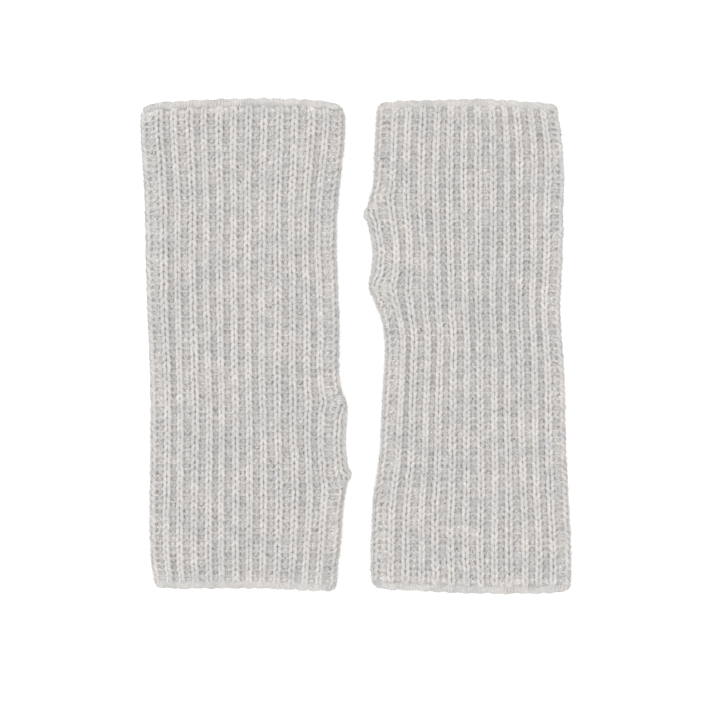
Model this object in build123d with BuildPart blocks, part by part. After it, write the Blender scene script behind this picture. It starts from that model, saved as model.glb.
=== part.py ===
from build123d import *
import os
from dataclasses import dataclass

# A pair of rib-knit fingerless gloves, laid flat side by side and head to tail.
# Each glove is one flattened tube of rib knit, joined down the thumb side by a linked seam
# that is left open over the thumb slit. Millimetres, +Z up; the pair rests on z = 0.
# A glove is drawn in its own frame: +Y from the wrist edge to the finger edge, thumb side at -X.

# Driving dimensions
length = 222.0  # wrist edge to finger edge
pair_width = 196.0  # over both gloves, outer side to outer side
thickness = 10.0  # both layers of knit and the air between them
wall = 2.6  # one layer of rib knit
side_wall = 5.5  # knit gathered in the fold at each side of the tube
side_round = 4.2  # rounding of the side folds
wrist_corner_radius = 5.0  # rounding of the corners, seen from above
finger_corner_radius = 3.0

bindoff_height = 2.8  # chain of loops along the finger edge
rolled_height = 4.0  # soft start-up edge along the wrist
fold_at = 111.0  # where the glove folds in half, from the wrist edge
fold_gap = 0.4  # room between the two halves at the fold

slit_low = 138.5  # the thumb slit, from the wrist edge
slit_high = 173.5
slit_line = 43.2  # from the centreline to the inner side of the slit's edge bands
slit_inner = 38.0  # from the centreline to where the slit has opened into the tube
tack_length = 3.0  # overcast stitches at each end of the slit
tack_line = 41.0  # from the centreline to the inner side of the overcast stitches

seam_width = 1.5  # ridge of the linked seam, standing in from the side fold
seam_height = 1.6
reach = 60.0  # larger than any half width, for cutting through a side
overrun = 1.0  # how far a cutting shape runs past an end


@dataclass
class Glove:
    """One glove: its name, the way it points, and its half widths at stations along it.

    A station is (distance from the wrist edge, half width on the thumb side, half width on the outer side).
    """

    name: str
    heading: int  # +1 fingers towards +Y, -1 fingers towards -Y
    stations: list

    @property
    def plane(self):
        """The plane that a glove is placed by: its wrist edge on the centreline."""
        outer = max(station[2] for station in self.stations)
        centre = self.heading * (pair_width / 2 - outer)
        return Plane(
            origin=(centre, -self.heading * length / 2, 0),
            x_dir=(self.heading, 0, 0),
            z_dir=(0, 0, 1),
        )


left = Glove(
    name="left",
    heading=-1,
    stations=[
        (0, 45.9, 46.6),
        (16, 45.9, 47.0),
        (40, 43.7, 45.4),
        (76, 42.5, 44.4),
        (112, 43.5, 43.1),
        (130, 44.4, 42.7),
        (141, 47.5, 42.6),
        (155, 47.2, 42.7),
        (168, 48.0, 42.7),
        (180, 45.9, 42.8),
        (196, 44.4, 42.7),
        (212, 43.0, 41.8),
        (length, 41.8, 39.6),
    ],
)
right = Glove(
    name="right",
    heading=1,
    stations=[
        (0, 45.4, 45.5),
        (18, 45.7, 45.3),
        (40, 44.6, 44.2),
        (60, 42.3, 43.3),
        (82, 40.8, 42.7),
        (102, 39.6, 41.8),
        (118, 40.0, 40.8),
        (128, 43.0, 40.4),
        (137, 46.5, 40.7),
        (153, 45.6, 41.5),
        (171, 47.9, 41.8),
        (181, 45.1, 41.9),
        (198, 44.0, 41.3),
        (212, 43.5, 40.2),
        (length, 43.2, 38.6),
    ],
)


def outline(glove, thumb_inset=0.0, outer_inset=0.0, past_ends=0.0):
    """The glove's shape seen from above: two gently curved sides between two straight ends."""
    ends = {0: -past_ends, length: length + past_ends}
    rows = [(ends.get(along, along), thumb, outer) for along, thumb, outer in glove.stations]
    with BuildSketch() as shape:
        with BuildLine():
            thumb_side = Spline([(thumb_inset - thumb, along) for along, thumb, outer in rows])
            outer_side = Spline([(outer - outer_inset, along) for along, thumb, outer in rows])
            Line(thumb_side @ 0, outer_side @ 0)
            Line(thumb_side @ 1, outer_side @ 1)
        make_face()
    return shape.sketch


def keep_between(low, high):
    """Keep only what lies between two distances from the wrist edge."""
    with Locations((0, low, 0)):
        Box(
            2 * reach,
            high - low,
            thickness,
            align=(Align.CENTER, Align.MIN, Align.MIN),
            mode=Mode.INTERSECT,
        )


def thumb_side_block(line, low, high, bottom=0.0, top=thickness, mode=Mode.SUBTRACT):
    """A block over the thumb side, outwards from a line, for cutting a piece out of the tube."""
    with Locations((-line, low, bottom)):
        Box(
            reach - line,
            high - low,
            top - bottom,
            align=(Align.MAX, Align.MIN, Align.MIN),
            mode=mode,
        )


def flattened_tube(glove):
    """The whole knitted tube, open at the wrist, at the fingers and at the thumb slit."""
    with BuildPart() as tube:
        extrude(outline(glove), amount=thickness)
        rims = tube.edges().group_by(Axis.Z)[0] + tube.edges().group_by(Axis.Z)[-1]
        fillet(rims.filter_by(Axis.X, reverse=True), side_round)
        with BuildSketch() as rounded_ends:
            add(outline(glove, -1.0, -1.0))
            wrist_corners = rounded_ends.vertices().group_by(Axis.Y)[0]
            finger_corners = rounded_ends.vertices().group_by(Axis.Y)[-1]
            fillet(wrist_corners, wrist_corner_radius + 1.0)
            fillet(finger_corners, finger_corner_radius + 1.0)
        extrude(amount=thickness, mode=Mode.INTERSECT)
        with BuildSketch(Plane.XY.offset(wall)):
            add(outline(glove, side_wall, side_wall, overrun))
        extrude(amount=thickness - 2 * wall, mode=Mode.SUBTRACT)
        thumb_side_block(slit_inner, slit_low, slit_high, wall, thickness - wall)
    return tube.part


def finish(piece, glove, name):
    """Label a piece and write it to its own file."""
    piece.part.label = f"{glove.name}_{name}"
    export_step(piece.part, f"parts/{glove.name}_{name}.step")


def make_knit_halves(glove, tube):
    """The rib knit on each side of the fold: hand half with the thumb slit, and wrist half."""
    with BuildPart(glove.plane) as hand_knit:
        add(tube)
        keep_between(fold_at + fold_gap / 2, length - bindoff_height)
        thumb_side_block(slit_line, slit_low, slit_high)
        thumb_side_block(tack_line, slit_low - tack_length, slit_low)
        thumb_side_block(tack_line, slit_high, slit_high + tack_length)
    finish(hand_knit, glove, "hand_rib_knit")

    with BuildPart(glove.plane) as wrist_knit:
        add(tube)
        keep_between(rolled_height, fold_at - fold_gap / 2)
    finish(wrist_knit, glove, "wrist_rib_knit")


def make_end_edges(glove, tube):
    """The bound-off chain around the finger opening and the soft roll around the wrist opening."""
    with BuildPart(glove.plane) as bindoff:
        add(tube)
        keep_between(length - bindoff_height, length + overrun)
    finish(bindoff, glove, "finger_bindoff_chain")

    with BuildPart(glove.plane) as rolled_edge:
        add(tube)
        keep_between(-overrun, rolled_height)
    finish(rolled_edge, glove, "wrist_rolled_edge")


def make_slit_edges(glove, tube):
    """The selvedge bands along both lips of the thumb slit, and the overcast stitches at its ends."""
    lips = {"front": (thickness / 2, thickness), "back": (0.0, thickness / 2)}
    for side, (bottom, top) in lips.items():
        with BuildPart(glove.plane) as lip:
            add(tube)
            thumb_side_block(slit_line, slit_low, slit_high, bottom, top, Mode.INTERSECT)
        finish(lip, glove, f"thumb_slit_{side}_edge")

    tacks = {"lower": slit_low - tack_length, "upper": slit_high}
    for end, low in tacks.items():
        with BuildPart(glove.plane) as tack:
            add(tube)
            thumb_side_block(tack_line, low, low + tack_length, mode=Mode.INTERSECT)
        finish(tack, glove, f"thumb_slit_{end}_tack")


def make_side_seams(glove):
    """The ridge of the linked seam inside the thumb-side fold, in the runs that the slit and fold leave."""
    with BuildPart() as ridge:
        with BuildSketch(Plane.XY.offset((thickness - seam_height) / 2)):
            add(outline(glove, side_wall, side_wall, overrun))
            add(outline(glove, side_wall + seam_width, side_wall, overrun), mode=Mode.SUBTRACT)
        extrude(amount=seam_height)
    runs = {
        "wrist_side_seam": (rolled_height, fold_at - fold_gap / 2),
        "palm_side_seam": (fold_at + fold_gap / 2, slit_low - tack_length),
        "finger_side_seam": (slit_high + tack_length, length - bindoff_height),
    }
    for name, (low, high) in runs.items():
        with BuildPart(glove.plane) as seam:
            add(ridge.part)
            keep_between(low, high)
        finish(seam, glove, name)


os.makedirs("parts", exist_ok=True)
for glove in (left, right):
    tube = flattened_tube(glove)
    make_knit_halves(glove, tube)
    make_end_edges(glove, tube)
    make_slit_edges(glove, tube)
    make_side_seams(glove)
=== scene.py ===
import math

import bpy
import numpy as np
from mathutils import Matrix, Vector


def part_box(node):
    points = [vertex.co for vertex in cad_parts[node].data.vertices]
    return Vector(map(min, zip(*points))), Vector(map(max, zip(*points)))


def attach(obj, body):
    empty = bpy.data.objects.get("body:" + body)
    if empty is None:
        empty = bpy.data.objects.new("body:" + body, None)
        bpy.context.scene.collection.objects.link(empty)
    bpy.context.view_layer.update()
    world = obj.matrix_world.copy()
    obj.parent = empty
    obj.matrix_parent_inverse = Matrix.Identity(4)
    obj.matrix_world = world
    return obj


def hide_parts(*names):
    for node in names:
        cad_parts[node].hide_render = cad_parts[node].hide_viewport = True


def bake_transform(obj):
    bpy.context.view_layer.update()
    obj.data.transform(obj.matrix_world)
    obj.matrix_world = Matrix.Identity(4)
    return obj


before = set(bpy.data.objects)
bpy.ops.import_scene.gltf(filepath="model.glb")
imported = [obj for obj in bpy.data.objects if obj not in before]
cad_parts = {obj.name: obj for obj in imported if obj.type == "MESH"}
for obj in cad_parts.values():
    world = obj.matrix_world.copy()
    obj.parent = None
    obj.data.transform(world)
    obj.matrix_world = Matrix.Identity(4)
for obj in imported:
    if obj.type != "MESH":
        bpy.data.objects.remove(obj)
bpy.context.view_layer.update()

MM = 0.001  # the knit is worked out in millimetres and built in metres
TURN = 2 * math.pi

# ---- the rib knit ----
WALES = 53  # columns of stitches round a glove, knit and purl in turn, knit at both sides of the seam
ROW_PITCH = 2.88  # rows of stitches along a glove
YARN = 0.72  # radius of the yarn
PLUMP = 0.36  # how much thicker the yarn is where a knit loop's legs lie on the face
LOOP_HEIGHT = 0.76  # half height of a loop, in rows
KNIT_SPREAD = 0.1  # how much wider than a purl wale a knit wale is, as a share of their mean
KNIT_LEAN = 0.205  # how far a knit loop's legs lean, in wales
PURL_LEAN = 0.17
KNIT_RISE = 1.05  # how far a knit loop's legs stand out from the middle of the fabric
KNIT_DIP = 0.25  # and how far its head dips behind it
PURL_SINK = 1.1  # how far a purl loop's legs lie behind the middle
PURL_HEAD = 0.75  # and how far its head does
HALF_GAP = 2.9  # from the middle of the flat tube to the middle of each layer
OUTER_SHIFT = 0.5  # how far, in wales, the outer fold's knit wale is turned up to the top face
THUMB_YARN = 1.9  # knit outside the middle of the layer at the seam
OUTER_YARN = 2.3  # and at the outer side fold
SEGMENTS = 16  # lengths of yarn mesh in a stitch
SIDES = 6  # faces round the yarn mesh
FLUFF = 0.07  # unevenness of the yarn's surface, as a share of its radius
LAID = 0.3  # how much the pair is raised, so that the lowest loops just touch the floor
STATIONS = 90  # places along the glove where its width is measured
STATIONS_FROM = 6  # the first and last are this far from its ends, clear of the rounded corners

# ---- how uneven its stitches are ----
VARY_LEAN = 0.16  # spread of the loops' lean, as a share of it
VARY_DEPTH = 0.09  # and of their depth
VARY_SWAY = 0.035  # how far the heads of loops sway sideways, in wales
VARY_RISE = 0.05  # and along the glove, in rows
VARY_FOOT = 0.04  # how far the feet between two stitches stray, in wales
LOOSE_PURL = 4.0  # how much more the heads of purl loops stray than those of knit ones
VARY_YARN = 0.05  # how much thicker and thinner the yarn gets along its length
YARN_WAVE = 5.0  # length of that, in lengths of yarn mesh
YARN_SHIFT = 2.1  # and how far it shifts from one row to the next
DRIFT = ((90.0, 0.16), (19.0, 0.05), (7.0, 0.02))  # a rib's slow curves: length, and size in wales
DRIFT_EDGE = 2.5  # ribs closer than this to the seam, in wales, drift less
FOLLOW_SIDE = 2.5  # wales follow the side less, the farther they lie from it, by this power
FOLLOW_LIP = 10.0  # and they follow the drawn-in edge of the slit less by this one

# ---- the soft unevenness of a glove that somebody has laid down ----
# For each way: which of the glove's ripples it is, its size, and its length along and across the glove.
WOBBLE = {
    "across": (0, 0.3, 17.0, 30.0),
    "lift": (1, 0.28, 11.0, 9.0),
    "along": (2, 0.4, 23.0, 13.0),
}
SETTLED_FROM = 0.06  # the lift fades towards the seam, over this share of the wales

# ---- the web of fibre behind the loops ----
WEB_COLUMNS = 4  # columns of the web's mesh in a wale
WEB_STEP = 1.15  # length of a row of the web's mesh
WEB_MARGIN = 2.0  # it stops this far inside the two ends, under the edges
WEB_LIFT = 0.1  # how far its face lies outside the middle of the fabric, on average
WEB_RIB = 0.6  # its face stands out behind the knit wales, and sinks behind the purl ones
WEB_GROOVE = 0.7  # and it sinks more between them
WEB_LOOPS = 0.6  # it is drawn in where a loop's legs part
WEB_PART = 0.7  # where that is, as a share of the row
WEB_ROUGH = 0.33  # spread of its roughness outwards
WEB_SLANT = 0.12  # and sideways, in wales
WEB_THICK = 0.5
WEB_BRIM = 0.8  # it is fuller next to the two ends
BRIM_REACH = (3, 9)  # wholly so up to the first distance from an end, and not at all beyond the second
WEB_TOP = 1.75  # its face never rises past this, so it stays below the tops of the loops

# ---- the two edges and the corners ----
COIL_TURNS = 2.6  # turns of the edge's overcast loops in a wale
COIL_SEGMENTS = 14  # lengths of yarn mesh in a turn
COIL_LOOSE = 0.12  # unevenness of the loops' height, as a share of it
COIL_LOOSE_RATE = 1.7  # how fast that changes from loop to loop
COIL_WANDER = 0.2  # how far the row of loops wanders lengthwise
COIL_WANDER_RATE = 1.3  # and how fast, from wale to wale
CHAIN_HALF = 1.25  # half height of the bound-off chain's loops
CHAIN_DEEP = 1.05  # and half their depth
ROLL_HALF = 1.2  # half height of the loops of the start-up roll at the wrist
ROLL_DEEP = 0.9  # and half their depth
EDGE_YARN = 0.86  # radius of both edges' yarn, which is fuller than the knit's
EDGE_RIB = 0.35  # how far both edges rise and sink with the ribs
SCALLOP = 0.35  # and how far they stand out lengthwise at the knit wales
FINGER_CORNER = 5.0  # radius of the corners at the finger end
CORNER_PULL = 1.0  # how far the wrist end draws back at the corners
CORNER_REACH = 7  # from a side to where it draws back no more
BOW_REACH = 24  # how far from an end its bow shifts the knit

# ---- the thumb slit ----
SLIT_BULGE = 14.0  # the side bulges at the slit, from this far before it to this far beyond it
SLIT_BEFORE = 5  # the side starts to part this far outside an end of the slit
SLIT_WITHIN = 6  # and is open this far inside it
LIP_YARN = 0.72  # radius of the yarn of the plaited selvedge along each lip
LIP_HALF = 0.8  # half width of the plait
LIP_DEEP = 0.4  # and half its depth
LIP_PLAIT = 9.0  # length of the plait's repeat
LIP_STEPS = 120  # points along each of its strands
LIP_OVERRUN = 3.5  # how far the plait runs on beyond an end of the slit
LIP_INNER = 0.6  # a place this many wales inside the lip shows which way is outward
LIP_DROOP = 1.3  # how far the lips of the slit lean towards each other
LIP_TILT = 0.3  # and how far their faces turn sideways, in radians
LIP_WIDTH = 3.0  # width of the selvedge outside the ribs
UPPER_PUCKER = (2.0, -3.5, 2.4)  # at the upper end the gathered edge sticks out: how far, where, how long
LOWER_PUCKER = (0.8, 1.0, 3.0)  # and at the lower end
TACK_WRAPS = 4  # overcast stitches at each end of the slit
TACK_YARN = 0.5  # radius of their yarn
TACK_SPACING = 0.95  # from one stitch to the next
TACK_STEPS = 22  # points along a stitch
TACK_LOWER = -4.2  # from the lower end of the slit to its first stitch
TACK_UPPER = -1.2  # and from the upper end
TACK_SLANT = 0.35  # how far a stitch slants along the glove to each side
TACK_REACH = 1.1  # how far it reaches round to each side, in wales
TACK_TOP = 1.9  # how far its middle stands out from the middle of the fabric
TACK_DIVE = 2.6  # and how far its ends dive down from there

# ---- the seam inside the thumb side ----
SEAM_YARN = 0.42  # radius of the linking yarn
SEAM_STITCH = 3.2  # length of its stitches
SEAM_DEPTH = 1.7  # how far behind the middle of the fabric it runs
SEAM_WAVE = 0.35  # and how far the two strands swing out and in
SEAM_SWING = 0.22  # and sideways, in wales
SEAM_CLEAR = 4  # it stops this far from the ends of the slit
SEAM_STEPS = 3  # points in a millimetre of it

# ---- the fold at mid length ----
FOLD_REACH = 14.0  # knit each side of the fold line that is kept apart, held to neither the hand nor the wrist

# ---- the stray fibres ----
FIBRES = 13500  # on the knit of the hand, and as many on the wrist
FOLD_FIBRES = 4500  # and between them
SIDE_FIBRES = 6.0  # how much thicker they stand on the side folds, which are handled most
FIBRE = 0.055  # their radius
FIBRE_TAPER = (1.0, 0.8, 0.35)  # how thick the root, the middle and the tip are, as shares of that
FIBRE_ROOT = 0.8  # where a fibre starts, as a share of the yarn's radius
FIBRE_STAND = (0.2, 1.0)  # how strongly it points outward, from the least to the most
FIBRE_WILD = 0.9  # and how strongly any other way
FIBRE_OUT = 0.15  # but it always points at least this much outward
FIBRE_LENGTH = (0.25, 0.4)  # the logarithm of its length: mean and spread
FIBRE_LONGEST = 2.6
FIBRE_CURL = 0.55  # how far its tip curls aside, as a share of its length
FIBRE_FLOOR = 0.05  # it stays this far above the table
FIBRE_SIDES = 3  # faces round its mesh
FIBRE_COLUMNS = 60  # fibres side by side in the flat layout

# ---- each tube's cell in the flat layout of a mesh, as shares of the cell ----
WALL_U = (0.02, 0.94)  # where the walls start, and how wide they are
WALL_V = (0.04, 0.92)
CAP_AT = (0.0, 0.97)  # where the two end caps start
CAP_HALF = (0.01, 0.3)  # and half their width and height


def smooth(low, high, value):
    """0 below low, 1 above high, and a smooth ramp between them."""
    t = np.clip((value - low) / (high - low), 0, 1)
    return t * t * (3 - 2 * t)


def ripple(seed, *coordinates):
    """Gentle, aperiodic unevenness between -1 and 1, from a few sines of uneven wavelengths."""
    rng = np.random.default_rng(seed)
    total = 0
    for wave in range(4):
        angle = rng.uniform(0, TURN)
        for value in coordinates:
            angle = angle + value * rng.uniform(0.6, 1.5) * (1 + 0.45 * wave)
        total = total + np.sin(angle) / (1 + 0.5 * wave)
    return total / 2.4


class Glove:
    """One glove's size and shape, read from the frame, and the way from its knit to its place.

    A place in the knit is (wale, along, lift): how many wales round from the seam, how far from the wrist
    edge, and how far out of the middle of the fabric. wrist_edge and finger_edge say how the two ends bow:
    how far each draws back at the thumb side, in the middle and at the outer side.
    """

    def __init__(self, name, seed, wrist_corner, wrist_edge, finger_edge):
        self.name = name
        self.wrist_corner = wrist_corner
        self.seed = seed
        self.wrist_edge = wrist_edge
        self.finger_edge = finger_edge
        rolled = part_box(f"{name}_wrist_rolled_edge")
        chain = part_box(f"{name}_finger_bindoff_chain")
        self.heading = 1 if chain[0].y > rolled[0].y else -1
        if self.heading > 0:
            self.wrist_y, finger_y = rolled[0].y / MM, chain[1].y / MM
            self.fold_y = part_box(f"{name}_wrist_rib_knit")[1].y / MM
        else:
            self.wrist_y, finger_y = rolled[1].y / MM, chain[0].y / MM
            self.fold_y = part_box(f"{name}_wrist_rib_knit")[0].y / MM
        self.length = abs(finger_y - self.wrist_y)
        self.fold_along = abs(self.fold_y - self.wrist_y)
        self.centre_x = (rolled[0].x + rolled[1].x) / 2 / MM
        self.mid_z = (rolled[0].z + rolled[1].z) / 2 / MM
        self.rolled_height = (rolled[1].y - rolled[0].y) / MM
        self.chain_height = (chain[1].y - chain[0].y) / MM
        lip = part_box(f"{name}_thumb_slit_front_edge")
        ends = sorted(abs(y / MM - self.wrist_y) for y in (lip[0].y, lip[1].y))
        self.slit_low, self.slit_high = ends
        knitted = self.length - self.rolled_height - self.chain_height
        self.rows = round(knitted / ROW_PITCH)
        self.row_pitch = knitted / self.rows
        self.measure_sides()
        self.yarns = {"wrist": [], "fold": [], "hand": []}
        self.trim = []
        rng = np.random.default_rng(seed + 20)
        self.wander = rng.uniform(0, TURN, (len(DRIFT), WALES // 2 + 3))

    def rib_drift(self, wale, along):
        """How far a rib strays sideways, in wales, as it runs along the glove."""
        rib = np.clip(wale / 2, 0, WALES / 2 + 1)
        left = rib.astype(int)
        share = rib - left
        drift = 0
        for phases, (reach, size) in zip(self.wander, DRIFT):
            wave = [np.sin(along / reach + phases[i]) for i in (left, left + 1)]
            drift = drift + size * ((1 - share) * wave[0] + share * wave[1])
        edge = np.minimum(wale, WALES - wale)
        return drift * smooth(0, DRIFT_EDGE, edge) - OUTER_SHIFT * np.sin(math.pi * wale / WALES) ** 2

    def measure_sides(self):
        """The half widths of the CAD glove at close stations along it, thumb side and outer side."""
        self.stations = np.linspace(STATIONS_FROM, self.length - STATIONS_FROM, STATIONS)
        low = np.full(len(self.stations), np.inf)
        high = -low
        for node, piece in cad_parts.items():
            if not node.startswith(self.name):
                continue
            mesh = piece.data
            points = np.empty(len(mesh.vertices) * 3)
            mesh.vertices.foreach_get("co", points)
            points = points.reshape(-1, 3) / MM
            across = (points[:, 0] - self.centre_x) * self.heading
            along = (points[:, 1] - self.wrist_y) * self.heading
            edges = np.empty(len(mesh.edges) * 2, dtype=int)
            mesh.edges.foreach_get("vertices", edges)
            a, b = edges.reshape(-1, 2).T
            for i, station in enumerate(self.stations):
                cut = (along[a] - station) * (along[b] - station) < 0
                share = (station - along[a[cut]]) / (along[b[cut]] - along[a[cut]])
                crossing = across[a[cut]] + share * (across[b[cut]] - across[a[cut]])
                if len(crossing):
                    low[i] = min(low[i], crossing.min())
                    high[i] = max(high[i], crossing.max())
        self.thumb_side = -low
        self.outer_side = high
        away = (self.stations < self.slit_low - SLIT_BULGE) | (self.stations > self.slit_high + SLIT_BULGE)
        self.thumb_line = np.interp(self.stations, self.stations[away], self.thumb_side[away])

    def half_width(self, side, along):
        """Half width at a distance from the wrist edge, drawn in at the rounded corners."""
        width = np.interp(along, self.stations, side)
        for radius, from_end in ((self.wrist_corner, along), (FINGER_CORNER, self.length - along)):
            into_corner = np.clip(1 - from_end / radius, 0, 1)
            width = width - radius * (1 - np.sqrt(1 - into_corner**2))
        return width

    def draw_back(self, across, along):
        """How far the knit near the two ends shifts along, for their bow and for the round wrist corners."""
        to_thumb = across + self.half_width(self.thumb_side, along)
        to_outer = self.half_width(self.outer_side, along) - across
        middle = np.clip((to_thumb - to_outer) / (to_thumb + to_outer), -1, 1)
        at_wrist, at_finger = (
            centre + (outer - thumb) / 2 * middle + ((outer + thumb) / 2 - centre) * middle**2
            for thumb, centre, outer in (self.wrist_edge, self.finger_edge)
        )
        at_wrist = at_wrist + CORNER_PULL * (1 - smooth(0, CORNER_REACH, np.minimum(to_thumb, to_outer)))
        near_wrist = 1 - smooth(0, BOW_REACH, along)
        near_finger = 1 - smooth(0, BOW_REACH, self.length - along)
        return at_wrist * near_wrist - at_finger * near_finger

    def slit(self, along):
        """1 where the thumb slit lies open, 0 where the side is closed."""
        opened = smooth(self.slit_low - SLIT_BEFORE, self.slit_low + SLIT_WITHIN, along)
        closed = smooth(self.slit_high - SLIT_WITHIN, self.slit_high + SLIT_BEFORE, along)
        return opened * (1 - closed)

    def pucker(self, along):
        """How far the edge of the knit sticks out where the slit's stitched ends gather it."""
        total = 0
        for end, (size, shift, reach) in ((self.slit_high, UPPER_PUCKER), (self.slit_low, LOWER_PUCKER)):
            total = total + size * np.exp(-(((along - end - shift) / reach) ** 2))
        return total

    def wobble(self, way, along, across):
        """The soft unevenness of the glove, one way: across, lift or along."""
        which, size, length, width = WOBBLE[way]
        return size * ripple(self.seed + which, along / length, across / width)

    def place(self, wale, along, lift):
        """Points in the row frame, in metres, from places in the knit."""
        wale, along, lift = np.broadcast_arrays(*(np.asarray(v, float) for v in (wale, along, lift)))
        radius = HALF_GAP
        nominal = np.mean(self.thumb_side + self.outer_side) - THUMB_YARN - OUTER_YARN
        quarter = (math.pi * radius / 2) / (2 * nominal + 2 * radius * (math.pi - 2))
        share = (wale + self.rib_drift(wale, along)) / WALES
        share = np.where(share < 0, share + 1, np.minimum(share, 1))
        under = share > 0.5
        share = np.where(under, 1 - share, share)

        # the flat stretch, whose wales keep to the middle and follow the sides near them
        open_slit = self.slit(along)
        flap = math.pi * radius / 2
        thumb = self.half_width(self.thumb_side, along) - (
            (radius + THUMB_YARN) * (1 - open_slit) + (flap + LIP_WIDTH) * open_slit
        )
        outer = self.half_width(self.outer_side, along) - radius - OUTER_YARN
        half = (nominal - 2 * radius) / 2
        flat = np.clip((share - quarter) / (0.5 - 2 * quarter), 0, 1)
        across = -half + 2 * half * flat
        line = self.half_width(self.thumb_line, along) - radius - THUMB_YARN
        across = across - (line - half) * (1 - flat) ** FOLLOW_SIDE
        across = across - (thumb - line) * (1 - flat) ** FOLLOW_LIP
        across = across + (outer - half) * flat**FOLLOW_SIDE
        height = np.full_like(across, radius)
        out_x, out_z = np.zeros_like(across), np.ones_like(across)

        # the outer side fold
        turn = np.clip((share - (0.5 - quarter)) / quarter, 0, 1) * math.pi / 2
        fold = share > 0.5 - quarter
        across = np.where(fold, outer + radius * np.sin(turn), across)
        height = np.where(fold, radius * np.cos(turn), height)
        out_x, out_z = np.where(fold, np.sin(turn), out_x), np.where(fold, np.cos(turn), out_z)

        # the thumb side: a fold like the other, or a flat lip along the open slit
        edge = np.clip(1 - share / quarter, 0, 1)
        turn = edge * math.pi / 2
        fold = share < quarter
        folded = -thumb - radius * np.sin(turn), radius * np.cos(turn)
        lip = -thumb - flap * edge, radius - LIP_DROOP * edge**2
        gathered = self.pucker(along) * edge**2
        across = np.where(fold, folded[0] + (lip[0] - folded[0]) * open_slit - gathered, across)
        height = np.where(fold, folded[1] + (lip[1] - folded[1]) * open_slit, height)
        tilt = turn * (1 - open_slit) + LIP_TILT * edge * open_slit
        out_x, out_z = np.where(fold, -np.sin(tilt), out_x), np.where(fold, np.cos(tilt), out_z)

        # the bow of the two ends, the soft unevenness, and the lift out of the fabric
        pull = self.draw_back(across, along)
        across = across + self.wobble("across", along, across)
        settled = self.wobble("lift", along, across) * smooth(0, SETTLED_FROM, share)
        height = height + np.where(under, 0, settled)
        across = across + out_x * lift
        height = height + out_z * lift
        height = np.where(under, -height, height)
        along = along + pull + self.wobble("along", along, across)
        return MM * np.stack(
            [
                self.centre_x + self.heading * across,
                self.wrist_y + self.heading * along,
                self.mid_z + LAID + height,
            ],
            axis=-1,
        )


# ---- meshes ----
def unit(vectors):
    """Vectors of length one in the same directions."""
    return vectors / np.maximum(np.linalg.norm(vectors, axis=-1, keepdims=True), 1e-12)


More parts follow.
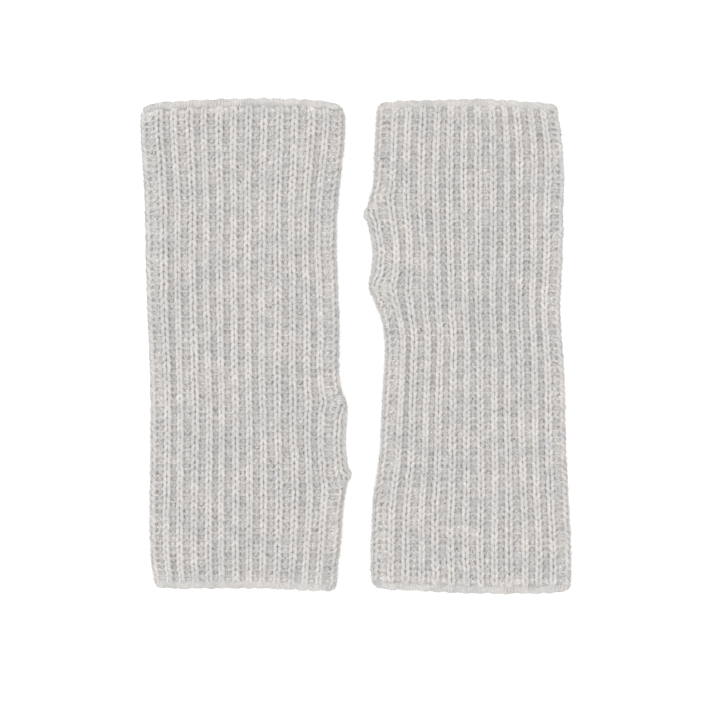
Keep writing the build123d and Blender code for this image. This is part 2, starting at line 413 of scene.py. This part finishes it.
class Tubes:
    """Closed tubes of yarn, gathered to make one mesh."""

    def __init__(self, columns=1):
        self.points, self.faces, self.sizes, self.cells = [], [], [], []
        self.columns = columns
        self.tubes = self.count = 0

    def add(self, lines, out, radius, sides=SIDES):
        """Adds tubes along lines, (tube, point, xyz). out is the fabric's outward direction.

        The radius is in metres.
        """
        tubes, steps = lines.shape[:2]
        tangent = unit(np.gradient(lines, axis=1))
        side = unit(np.cross(tangent, out))
        up = np.cross(side, tangent)
        angle = np.arange(sides) * TURN / sides
        radius = np.broadcast_to(radius, lines.shape[:2])[..., None, None]
        ring = (
            np.cos(angle)[:, None] * side[:, :, None, :] + np.sin(angle)[:, None] * up[:, :, None, :]
        )
        rough = np.random.default_rng(self.tubes + tubes).standard_normal((tubes, steps, sides, 1))
        points = lines[:, :, None, :] + radius * (1 + FLUFF * np.clip(rough, -2, 2)) * ring
        index = self.count + np.arange(tubes * steps * sides).reshape(tubes, steps, sides)
        after = np.roll(index, -1, axis=2)
        walls = np.stack([index[:, :-1], index[:, 1:], after[:, 1:], after[:, :-1]], axis=-1)
        self.points.append(points.reshape(-1, 3))
        self.faces.append(walls.reshape(-1))
        self.sizes.append(np.full(walls.size // 4, 4))
        for cap in (index[:, 0], index[:, -1, ::-1]):
            self.faces.append(cap.reshape(-1))
            self.sizes.append(np.full(tubes, sides))
        reach = np.cumsum(np.linalg.norm(np.diff(lines, axis=1), axis=-1), axis=1)
        reach = np.concatenate([np.zeros((tubes, 1)), reach], axis=1)
        self.cells.append((self.tubes, tubes, steps, sides, reach))
        self.tubes += tubes
        self.count += tubes * steps * sides

    def build(self, name, material):
        """One smooth mesh object, whose UV maps are a flat layout and the way along and round the yarn."""
        points = np.concatenate(self.points).astype(np.float32)
        corners = np.concatenate(self.faces).astype(np.int32)
        sizes = np.concatenate(self.sizes).astype(np.int32)
        mesh = bpy.data.meshes.new(name)
        mesh.vertices.add(len(points))
        mesh.vertices.foreach_set("co", points.reshape(-1))
        mesh.loops.add(len(corners))
        mesh.loops.foreach_set("vertex_index", corners)
        mesh.polygons.add(len(sizes))
        starts = np.concatenate([[0], np.cumsum(sizes)[:-1]])
        mesh.polygons.foreach_set("loop_start", starts.astype(np.int32))
        mesh.polygons.foreach_set("loop_total", sizes)
        mesh.polygons.foreach_set("use_smooth", np.ones(len(sizes), bool))
        mesh.update(calc_edges=True)
        layout, yarn = self.maps()
        for title, values in (("OFBake", layout), ("Yarn", yarn)):
            layer = mesh.uv_layers.new(name=title)
            layer.uv.foreach_set("vector", values.astype(np.float32).reshape(-1))
        mesh.materials.append(material)
        piece = bpy.data.objects.new(name, mesh)
        bpy.context.scene.collection.objects.link(piece)
        return piece

    def maps(self):
        """Each face corner's place in the flat layout, and its centimetres along and turns round a yarn."""
        layout, yarn = [], []
        rows = math.ceil(self.tubes / self.columns)
        for first, tubes, steps, sides, reach in self.cells:
            which = first + np.arange(tubes)
            left = (which % self.columns) / self.columns
            low = (which // self.columns) / rows
            step = np.arange(steps - 1)
            side = np.arange(sides)
            shape = (tubes, steps - 1, sides)
            u0 = np.broadcast_to(step[None, :, None] / (steps - 1), shape)
            u1 = np.broadcast_to((step[None, :, None] + 1) / (steps - 1), shape)
            v0 = np.broadcast_to(side[None, None, :] / sides, shape)
            v1 = v0 + 1 / sides
            us = np.stack([u0, u1, u1, u0], axis=-1)
            vs = np.stack([v0, v0, v1, v1], axis=-1)
            flat_u = left[:, None, None, None] + (WALL_U[0] + WALL_U[1] * us) / self.columns
            flat_v = low[:, None, None, None] + (WALL_V[0] + WALL_V[1] * vs) / rows
            layout.append(np.stack([flat_u, flat_v], axis=-1).reshape(-1, 2))
            near = np.broadcast_to(reach[:, :-1, None], shape) * 100
            far = np.broadcast_to(reach[:, 1:, None], shape) * 100
            lengths = np.stack([near, far, far, near], axis=-1)
            yarn.append(np.stack([lengths, vs], axis=-1).reshape(-1, 2))
            angle = side * TURN / sides
            for end in CAP_AT:
                cap_u = left[:, None] + (end + CAP_HALF[0] * (1 + np.cos(angle))) / self.columns
                cap_v = low[:, None] + (0.5 + CAP_HALF[1] * np.sin(angle)) / rows
                layout.append(np.stack([cap_u, cap_v], axis=-1).reshape(-1, 2))
                yarn.append(np.zeros((tubes * sides, 2)))
        return np.concatenate(layout), np.concatenate(yarn)


def knit_lines(glove, rows):
    """The yarn's path through some rows of rib, as places in the knit, and its thickness."""
    rng = np.random.default_rng(glove.seed + 10)
    stitches = (glove.rows, WALES)
    vary_lean = 1 + VARY_LEAN * rng.standard_normal(stitches)
    vary_depth = 1 + VARY_DEPTH * rng.standard_normal(stitches)
    loose = np.where(np.arange(WALES) % 2 == 0, 1.0, LOOSE_PURL)
    sway = VARY_SWAY * loose * rng.standard_normal(stitches)
    rise = VARY_RISE * loose * glove.row_pitch * rng.standard_normal(stitches)
    foot = VARY_FOOT * rng.standard_normal((glove.rows, WALES + 1))

    phase = np.linspace(0, WALES, WALES * SEGMENTS + 1)
    stitch = np.minimum(phase.astype(int), WALES - 1)
    angle = TURN * (phase - stitch)
    row = np.asarray(rows)[:, None]
    knit = stitch % 2 == 0
    head = np.sin(angle / 2) ** 2
    side = stitch + (angle > math.pi)
    spread = np.where(knit, KNIT_SPREAD, -KNIT_SPREAD) / 2
    lean = np.where(knit, KNIT_LEAN, PURL_LEAN) * vary_lean[row, stitch]
    wale = (
        phase
        + spread * (phase - stitch - 0.5) * 2
        + lean * np.sin(2 * angle)
        + sway[row, stitch] * head
        + foot[row, side] * (1 - head)
    )
    along = (
        glove.rolled_height
        + (row + 0.5) * glove.row_pitch
        - LOOP_HEIGHT * glove.row_pitch * np.cos(angle)
        + rise[row, stitch] * head
    )
    legs = np.sin(angle) ** 2 * vary_depth[row, stitch]
    lift = np.where(knit, KNIT_RISE * legs - KNIT_DIP * head**3, -PURL_SINK * legs - PURL_HEAD * head)
    wale = np.clip(wale, 0, WALES)
    radius = YARN * (1 + np.where(knit, PLUMP * np.sin(angle) ** 2, 0))
    return wale, along, lift, radius


def out_from(glove, wale, along, lift):
    """The places' points, and the fabric's outward direction there."""
    lines = glove.place(wale, along, lift)
    return lines, unit(glove.place(wale, along, lift + 0.5) - lines)


def uneven(glove, lines, radius):
    """A softly uneven thickness along some yarns, in metres."""
    steps = np.arange(lines.shape[1])
    tube = np.arange(lines.shape[0])[:, None]
    return MM * radius * (1 + VARY_YARN * ripple(glove.seed + 3, steps / YARN_WAVE, tube * YARN_SHIFT))


# ---- materials ----
WOOL = (0.51, 0.494, 0.475)
DARK_FIBRES = 0.2  # how much darker than the tint the darkest fibres are, as a share of it
LIGHT_FIBRES = 0.07  # and how much lighter the lightest
# Layers of noise that tint the wool, each with its scale, its detail and two of its levels with their tints:
# greyer and paler patches, bluish and warm heather, and wide, faint blotches.
TINTS = (
    (260, 4, [(0.35, (0.895, 0.895, 0.905, 1)), (0.62, (1.035, 1.035, 1.035, 1))]),
    (900, 2, [(0.38, (0.965, 0.98, 1.025, 1)), (0.62, (1.025, 1.005, 0.965, 1))]),
    (75, 2, [(0.38, (0.95, 0.96, 0.975, 1)), (0.6, (1.02, 1.015, 1.01, 1))]),
)


def wool(name, brightness, mixed=1.0):
    """Heathered wool: mixed fibres, a soft twist and a matte surface with a little sheen."""
    tint = [c * brightness for c in WOOL]
    material = bpy.data.materials.new(name)
    material.use_nodes = True
    nodes, links = material.node_tree.nodes, material.node_tree.links
    surface = nodes["Principled BSDF"]
    for socket, value in (
        ("Roughness", 0.95),
        ("Specular IOR Level", 0.25),
        ("Sheen Weight", 0.35),
        ("Sheen Roughness", 0.6),
        ("Sheen Tint", (1.0, 0.98, 0.95, 1)),
    ):
        surface.inputs[socket].default_value = value
    place = nodes.new("ShaderNodeTexCoord")

    def noise(scale, detail):
        texture = nodes.new("ShaderNodeTexNoise")
        texture.inputs["Scale"].default_value = scale
        texture.inputs["Detail"].default_value = detail
        links.new(place.outputs["Object"], texture.inputs["Vector"])
        return texture.outputs["Fac"]

    def ramp(value, stops):
        node = nodes.new("ShaderNodeValToRGB")
        for element, (position, color) in zip(node.color_ramp.elements, stops):
            element.position = position
            element.color = color
        links.new(value, node.inputs["Fac"])
        return node.outputs["Color"]

    def multiply(first, second):
        node = nodes.new("ShaderNodeMix")
        node.data_type = "RGBA"
        node.blend_type = "MULTIPLY"
        node.inputs["Factor"].default_value = 1.0
        links.new(first, node.inputs["A"])
        links.new(second, node.inputs["B"])
        return node.outputs["Result"]

    def relief(height, strength, depth):
        node = nodes.new("ShaderNodeBump")
        node.inputs["Strength"].default_value = strength
        node.inputs["Distance"].default_value = depth * MM
        links.new(height, node.inputs["Height"])
        return node

    dark = tuple(c * (1 - DARK_FIBRES * mixed) for c in tint) + (1,)
    light = tuple(c * (1 + LIGHT_FIBRES * mixed) for c in tint) + (1,)
    colour = ramp(noise(2600, 3), [(0.36, dark), (0.6, light)])
    for scale, detail, stops in TINTS:
        colour = multiply(colour, ramp(noise(scale, detail), stops))
    links.new(colour, surface.inputs["Base Color"])

    twist = nodes.new("ShaderNodeUVMap")
    twist.uv_map = "Yarn"
    strands = nodes.new("ShaderNodeTexWave")
    strands.wave_type = "BANDS"
    strands.bands_direction = "DIAGONAL"
    strands.inputs["Scale"].default_value = 1.6
    strands.inputs["Distortion"].default_value = 1.5
    strands.inputs["Detail"].default_value = 2
    links.new(twist.outputs["UV"], strands.inputs["Vector"])
    twisted = relief(strands.outputs["Fac"], strength=0.35, depth=0.12)
    fluff = relief(noise(2100, 4), strength=0.7, depth=0.25)
    links.new(twisted.outputs["Normal"], fluff.inputs["Normal"])
    links.new(fluff.outputs["Normal"], surface.inputs["Normal"])
    return material


rib_wool = wool("rib_wool", 1.0, mixed=1.5)
# the edges' yarn is painted a little darker than the knit, as painted shade: it tones down the light that
# the convex edge ridges catch, and shades the slit's selvedge
shaded_edge_wool = wool("shaded_edge_wool", 0.95)
# the web is painted lighter than the yarn, as painted light: it stands for light scattered through the wool
# into the gaps between the loops
lit_web_wool = wool("lit_web_wool", 1.15, mixed=2.3)
stray_wool = wool("stray_wool", 0.98, mixed=2.6)
seam_wool = wool("seam_wool", 0.98)


# ---- the pieces ----
def zones(glove):
    """The rows of each zone of knit, and what it follows: the hand, the wrist or the fold between them."""
    fold = [
        int((glove.fold_along - FOLD_REACH - glove.rolled_height) / glove.row_pitch),
        int((glove.fold_along + FOLD_REACH - glove.rolled_height) / glove.row_pitch) + 1,
    ]
    wrist_middle = fold[0] // 2
    hand_middle = (fold[1] + glove.rows) // 2
    return {
        "wrist_low": (range(0, wrist_middle), "wrist"),
        "wrist_high": (range(wrist_middle, fold[0]), "wrist"),
        "fold": (range(*fold), "fold"),
        "palm": (range(fold[1], hand_middle), "hand"),
        "finger": (range(hand_middle, glove.rows), "hand"),
    }


def hold(glove, piece, part, slot, *nodes):
    """A piece rides on the glove's hand or wrist, or at the fold is left free with its place baked into its
    mesh, and stands for some CAD nodes.
    """
    if part == "fold":
        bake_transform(piece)
    else:
        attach(piece, f"{glove.name}_{part}")
    if nodes:
        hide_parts(*(f"{glove.name}_{node}" for node in nodes))


def make_knit(glove):
    """The rows of loops, zone by zone."""
    for zone, (rows, part) in zones(glove).items():
        wale, along, lift, radius = knit_lines(glove, rows)
        lines, out = out_from(glove, wale, along, lift)
        tubes = Tubes()
        tubes.add(lines, out, uneven(glove, lines, radius))
        piece = tubes.build(f"{glove.name}_{zone}_stitches", rib_wool)
        hold(glove, piece, part, "rib_knit", "wrist_rib_knit" if part == "wrist" else "hand_rib_knit")
        glove.yarns[part].append((lines, out))


def make_fibres(glove):
    """Stray fibres that stand off the yarn in short curls, and give the wool its halo."""
    for part, groups in glove.yarns.items():
        rng = np.random.default_rng(glove.seed + 30 + len(part))
        lines = np.concatenate([lines[:, 2:-2].reshape(-1, 3) for lines, out in groups])
        out = np.concatenate([out[:, 2:-2].reshape(-1, 3) for lines, out in groups])
        count = FIBRES if part != "fold" else FOLD_FIBRES
        weight = np.where(abs(out[:, 0]) > 0.5, SIDE_FIBRES, 1.0)
        which = rng.choice(len(lines), count, p=weight / weight.sum())
        normal = out[which]
        away = normal * rng.uniform(*FIBRE_STAND, (count, 1))
        away = unit(away + FIBRE_WILD * rng.standard_normal((count, 3)))
        away = unit(away + normal * np.maximum(FIBRE_OUT - (away * normal).sum(1, keepdims=True), 0))
        bend = unit(rng.standard_normal((count, 3)))
        reach = MM * np.minimum(rng.lognormal(*FIBRE_LENGTH, count), FIBRE_LONGEST)[:, None]
        base = lines[which] + away * MM * YARN * FIBRE_ROOT
        points = [base]
        for share in (0.5, 1.0):
            points.append(base + reach * (away * share + bend * FIBRE_CURL * share**2))
        curls = np.stack(points, axis=1)
        curls[..., 2] = np.maximum(curls[..., 2], FIBRE_FLOOR * MM)
        tubes = Tubes(columns=FIBRE_COLUMNS)
        taper = MM * FIBRE * np.array(FIBRE_TAPER)
        tubes.add(curls, np.broadcast_to(bend[:, None, :], curls.shape), taper[None, :], sides=FIBRE_SIDES)
        piece = tubes.build(f"{glove.name}_{part}_stray_fibres", stray_wool)
        hold(glove, piece, part, "rib_knit")


def make_web(glove):
    """The knitted panel's continuous web of fibre, between and behind the loops: a thin closed sheet."""
    low, high = WEB_MARGIN, glove.length - WEB_MARGIN
    wale = np.linspace(0, WALES, WALES * WEB_COLUMNS + 1)[None, :]
    along = np.linspace(low, high, int((high - low) / WEB_STEP))[:, None]
    across_rib = math.pi * (wale - 0.5)
    ribbed = WEB_LIFT + WEB_RIB * np.cos(across_rib) - WEB_GROOVE * np.sin(across_rib) ** 2
    ribbed = ribbed + WEB_BRIM * (1 - smooth(*BRIM_REACH, np.minimum(along, glove.length - along)))
    rng = np.random.default_rng(glove.seed + 40)
    shape = (along.size, wale.size)
    rough = WEB_ROUGH * rng.standard_normal(shape)
    rough[:, [0, -1]] = 0
    parted = np.cos(TURN * ((along - glove.rolled_height) / glove.row_pitch - WEB_PART))
    loops = -WEB_LOOPS * parted * np.cos(across_rib)
    slant = WEB_SLANT * rng.standard_normal(shape)
    lift = np.minimum(ribbed + loops + rough, WEB_TOP)
    face = glove.place(np.clip(wale + slant, 0, WALES), along, lift)
    back = glove.place(wale, along, ribbed - WEB_THICK)
    # its material is painted lighter than the yarn, as painted light in the gaps
    piece = slab(f"{glove.name}_knitted_panel", face, back, lit_web_wool)
    hold(glove, piece, "fold", "rib_knit")


def slab(name, face, back, material):
    """A closed sheet between two grids of points."""
    rows, columns = face.shape[:2]
    grid = np.arange(rows * columns).reshape(rows, columns)
    front = np.stack([grid[:-1, :-1], grid[:-1, 1:], grid[1:, 1:], grid[1:, :-1]], axis=-1)
    quads = [front.reshape(-1, 4), (front + grid.size)[..., ::-1].reshape(-1, 4)]
    ring = np.concatenate([grid[0, :-1], grid[:-1, -1], grid[-1, :0:-1], grid[:0:-1, 0]])
    after = np.roll(ring, -1)
    quads.append(np.stack([after, ring, ring + grid.size, after + grid.size], axis=-1))
    mesh = bpy.data.meshes.new(name)
    points = np.concatenate([face.reshape(-1, 3), back.reshape(-1, 3)])
    mesh.from_pydata(points.tolist(), [], np.concatenate(quads).tolist())
    mesh.polygons.foreach_set("use_smooth", np.ones(len(mesh.polygons), bool))
    mesh.materials.append(material)
    piece = bpy.data.objects.new(name, mesh)
    bpy.context.scene.collection.objects.link(piece)
    return piece


def coil(glove, middle, half, deep, outward):
    """A yarn that loops over and over an edge of the tube, as places in the knit."""
    turns = WALES * COIL_TURNS
    phase = np.linspace(0, 1, int(turns * COIL_SEGMENTS) + 1)[None, :]
    angle = TURN * turns * phase
    wale = WALES * phase
    rib = np.cos(math.pi * (wale - 0.5))
    loose = 1 + COIL_LOOSE * ripple(glove.seed + 4, angle / TURN * COIL_LOOSE_RATE)
    wander = COIL_WANDER * ripple(glove.seed + 5, wale * COIL_WANDER_RATE)
    along = middle + half * loose * np.cos(angle) + wander
    return wale, along + outward * SCALLOP * (rib - 1) / 2, deep * np.sin(angle) + EDGE_RIB * rib


def make_edges(glove):
    """The bound-off loops round the finger opening and the soft roll round the wrist opening."""
    edges = (
        ("finger_bindoff_chain", glove.length - CHAIN_HALF - EDGE_YARN, CHAIN_HALF, CHAIN_DEEP, 1, "hand"),
        ("wrist_rolled_edge", ROLL_HALF + EDGE_YARN, ROLL_HALF, ROLL_DEEP, -1, "wrist"),
    )
    for name, middle, half, deep, outward, part in edges:
        lines, out = out_from(glove, *coil(glove, middle, half, deep, outward))
        tubes = Tubes()
        tubes.add(lines, out, uneven(glove, lines, EDGE_YARN))
        glove.yarns[part].append((lines, out))
        piece = tubes.build(f"{glove.name}_{name}_loops", shaded_edge_wool)
        hold(glove, piece, part, "chain_edge" if part == "hand" else "rolled_edge", name)
        glove.trim.append(piece)


def plait(steps, length, repeat, half, deep):
    """Sideways and outward offsets of three plaited strands, one row each."""
    travel = np.linspace(0, length, steps)[None, :]
    angle = TURN * (travel / repeat + np.arange(3)[:, None] / 3)
    return half * np.cos(angle), deep * np.sin(2 * angle)


def make_slit_edges(glove):
    """The plaited selvedge along each lip of the thumb slit, and the overcast stitches at its ends."""
    low, high = glove.slit_low - LIP_OVERRUN, glove.slit_high + LIP_OVERRUN
    along = np.linspace(low, high, LIP_STEPS)[None, :]
    for side, wale, inner in (("front", 0.0, LIP_INNER), ("back", float(WALES), WALES - LIP_INNER)):
        edge, out = out_from(glove, wale, along, 0.0)
        outward = unit(edge - glove.place(inner, along, 0.0))
        across, lift = plait(LIP_STEPS, high - low, LIP_PLAIT, LIP_HALF, LIP_DEEP)
        open_slit = glove.slit(along)[..., None]
        middle = edge + outward * MM * (LIP_WIDTH - LIP_HALF - LIP_YARN) * open_slit
        lines = middle + outward * MM * across[..., None] + out * MM * lift[..., None]
        tubes = Tubes()
        tubes.add(lines, np.broadcast_to(out, lines.shape), uneven(glove, lines, LIP_YARN))
        piece = tubes.build(f"{glove.name}_thumb_slit_{side}_selvedge", shaded_edge_wool)
        hold(glove, piece, "hand", "selvedge", f"thumb_slit_{side}_edge")
        glove.trim.append(piece)

    for end, first in (("lower", glove.slit_low + TACK_LOWER), ("upper", glove.slit_high + TACK_UPPER)):
        reach = np.linspace(-1, 1, TACK_STEPS)[None, :]
        wrap = np.arange(TACK_WRAPS)[:, None]
        along = first + wrap * TACK_SPACING + TACK_SLANT * reach
        lines, out = out_from(glove, -TACK_REACH * reach, along, TACK_TOP - TACK_DIVE * reach**4)
        tubes = Tubes()
        tubes.add(lines, out, MM * TACK_YARN)
        piece = tubes.build(f"{glove.name}_thumb_slit_{end}_overcast", seam_wool)
        hold(glove, piece, "hand", "seam_yarn", f"thumb_slit_{end}_tack")


def make_seams(glove):
    """The linking yarn inside the thumb-side fold: two strands that cross at every stitch."""
    fold_low, fold_high = glove.fold_along - FOLD_REACH, glove.fold_along + FOLD_REACH
    chain = glove.length - glove.chain_height
    runs = (
        ("wrist_seam", glove.rolled_height, fold_low, "wrist", ["wrist_side_seam"]),
        ("fold_seam", fold_low, fold_high, "fold", []),
        ("palm_seam", fold_high, glove.slit_low - SEAM_CLEAR, "hand", ["palm_side_seam"]),
        ("finger_seam", glove.slit_high + SEAM_CLEAR, chain, "hand", ["finger_side_seam"]),
    )
    for name, low, high, part, nodes in runs:
        along = np.linspace(low, high, int((high - low) * SEAM_STEPS))[None, :]
        angle = TURN * along / SEAM_STITCH + np.array([[0.0], [math.pi]])
        lift = SEAM_WAVE * np.cos(angle) - SEAM_DEPTH
        lines, out = out_from(glove, SEAM_SWING * np.sin(angle), along, lift)
        tubes = Tubes()
        tubes.add(lines, out, MM * SEAM_YARN)
        piece = tubes.build(f"{glove.name}_{name}_linking", seam_wool)
        hold(glove, piece, part, "seam_yarn", *nodes)


gloves = (
    Glove("left", 11, wrist_corner=6.5, wrist_edge=(1.0, -0.2, 1.9), finger_edge=(-0.3, 1.0, 1.2)),
    Glove("right", 47, wrist_corner=4.5, wrist_edge=(1.0, -1.2, -0.5), finger_edge=(1.2, 0.2, 2.2)),
)
for glove in gloves:
    make_knit(glove)
    make_edges(glove)
    make_slit_edges(glove)
    make_seams(glove)
    make_fibres(glove)
    make_web(glove)


# ---- floor, light and camera ----
LENS = 85  # millimetres
SENSOR = 36
WIDTH_SEEN = 0.3276  # metres of floor across the picture
AIM = (0.0018, -0.0068)  # the point of the floor in the middle of the picture


def make_studio():
    """A white floor, an even sky, and two soft lamps that face the middle of the pair."""
    bpy.ops.mesh.primitive_plane_add(size=8, location=(0, 0, 0))
    floor = bpy.context.object
    floor.name = "studio_floor"
    paper = bpy.data.materials.new("paper")
    paper.use_nodes = True
    surface = paper.node_tree.nodes["Principled BSDF"]
    surface.inputs["Base Color"].default_value = (0.97, 0.97, 0.97, 1)
    surface.inputs["Roughness"].default_value = 0.9
    floor.data.materials.append(paper)

    world = bpy.data.worlds.new("studio")
    bpy.context.scene.world = world
    world.use_nodes = True
    sky = world.node_tree.nodes["Background"]
    sky.inputs["Color"].default_value = (1, 1, 1, 1)
    sky.inputs["Strength"].default_value = 1.0

    for name, place, size, power in (
        ("softbox_key", (-0.7, 0.5, 1.3), 0.9, 6),
        ("softbox_top", (0.15, -0.1, 1.5), 0.8, 12),
    ):
        lamp = bpy.data.lights.new(name, "AREA")
        lamp.shape = "SQUARE"
        lamp.size = size
        lamp.energy = power
        light = bpy.data.objects.new(name, lamp)
        light.location = place
        bpy.context.scene.collection.objects.link(light)
        aim = -light.location
        light.rotation_euler = aim.to_track_quat("-Z", "Y").to_euler()


def make_camera():
    """A camera straight above the pair, with a long lens."""
    camera = bpy.data.cameras.new("camera")
    camera.lens = LENS
    camera.sensor_width = SENSOR
    view = bpy.data.objects.new("camera", camera)
    view.location = (*AIM, WIDTH_SEEN * camera.lens / camera.sensor_width)
    bpy.context.scene.collection.objects.link(view)
    bpy.context.scene.camera = view


make_studio()
make_camera()
bpy.context.scene.view_settings.view_transform = "Standard"
